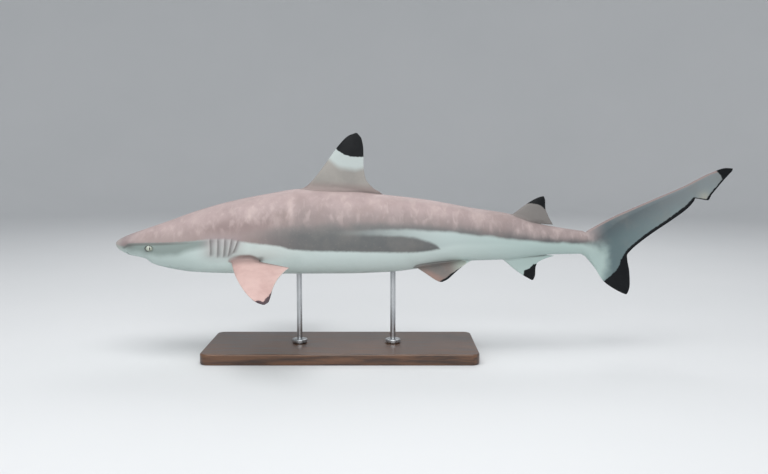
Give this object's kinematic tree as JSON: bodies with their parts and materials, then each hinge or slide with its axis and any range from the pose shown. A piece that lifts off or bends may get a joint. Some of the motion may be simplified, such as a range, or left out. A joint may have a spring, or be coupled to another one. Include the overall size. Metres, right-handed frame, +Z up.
{
  "type": "blacktip reef shark",
  "caption": "Life-size blacktip reef shark, swimming, with black-tipped fins, held over a plain flat base by steel rods.",
  "frame": {"origin": "centre of the underside of the stand's base", "axes": "+X from the head towards the tail, +Y to the shark's right, +Z up"},
  "size_m": [1.3882, 0.5905, 0.494],
  "materials": {
    "back_skin": "satin",
    "belly_skin": "satin",
    "eye": "gloss",
    "base_wood": "satin",
    "rod_steel": "satin"
  },
  "bodies": {
    "root": {"head": "back_skin", "lower_jaw": "belly_skin", "eye_left": "eye", "eye_right": "eye", "gill_region": "back_skin", "shoulder": "back_skin", "belly_length": "back_skin", "tail_stalk": "back_skin", "tail_fin_upper_lobe": "back_skin", "tail_fin_lower_lobe": "belly_skin", "dorsal_fin_first": "back_skin", "dorsal_fin_second": "back_skin", "anal_fin": "belly_skin", "pectoral_fin_left": "back_skin", "pectoral_fin_right": "back_skin", "pelvic_fin_left": "back_skin", "pelvic_fin_right": "back_skin", "stand_base": "base_wood", "stand_rod_front": "rod_steel", "stand_rod_rear": "rod_steel", "stand_collar_front": "rod_steel", "stand_collar_rear": "rod_steel"}
  },
  "joints": []
}
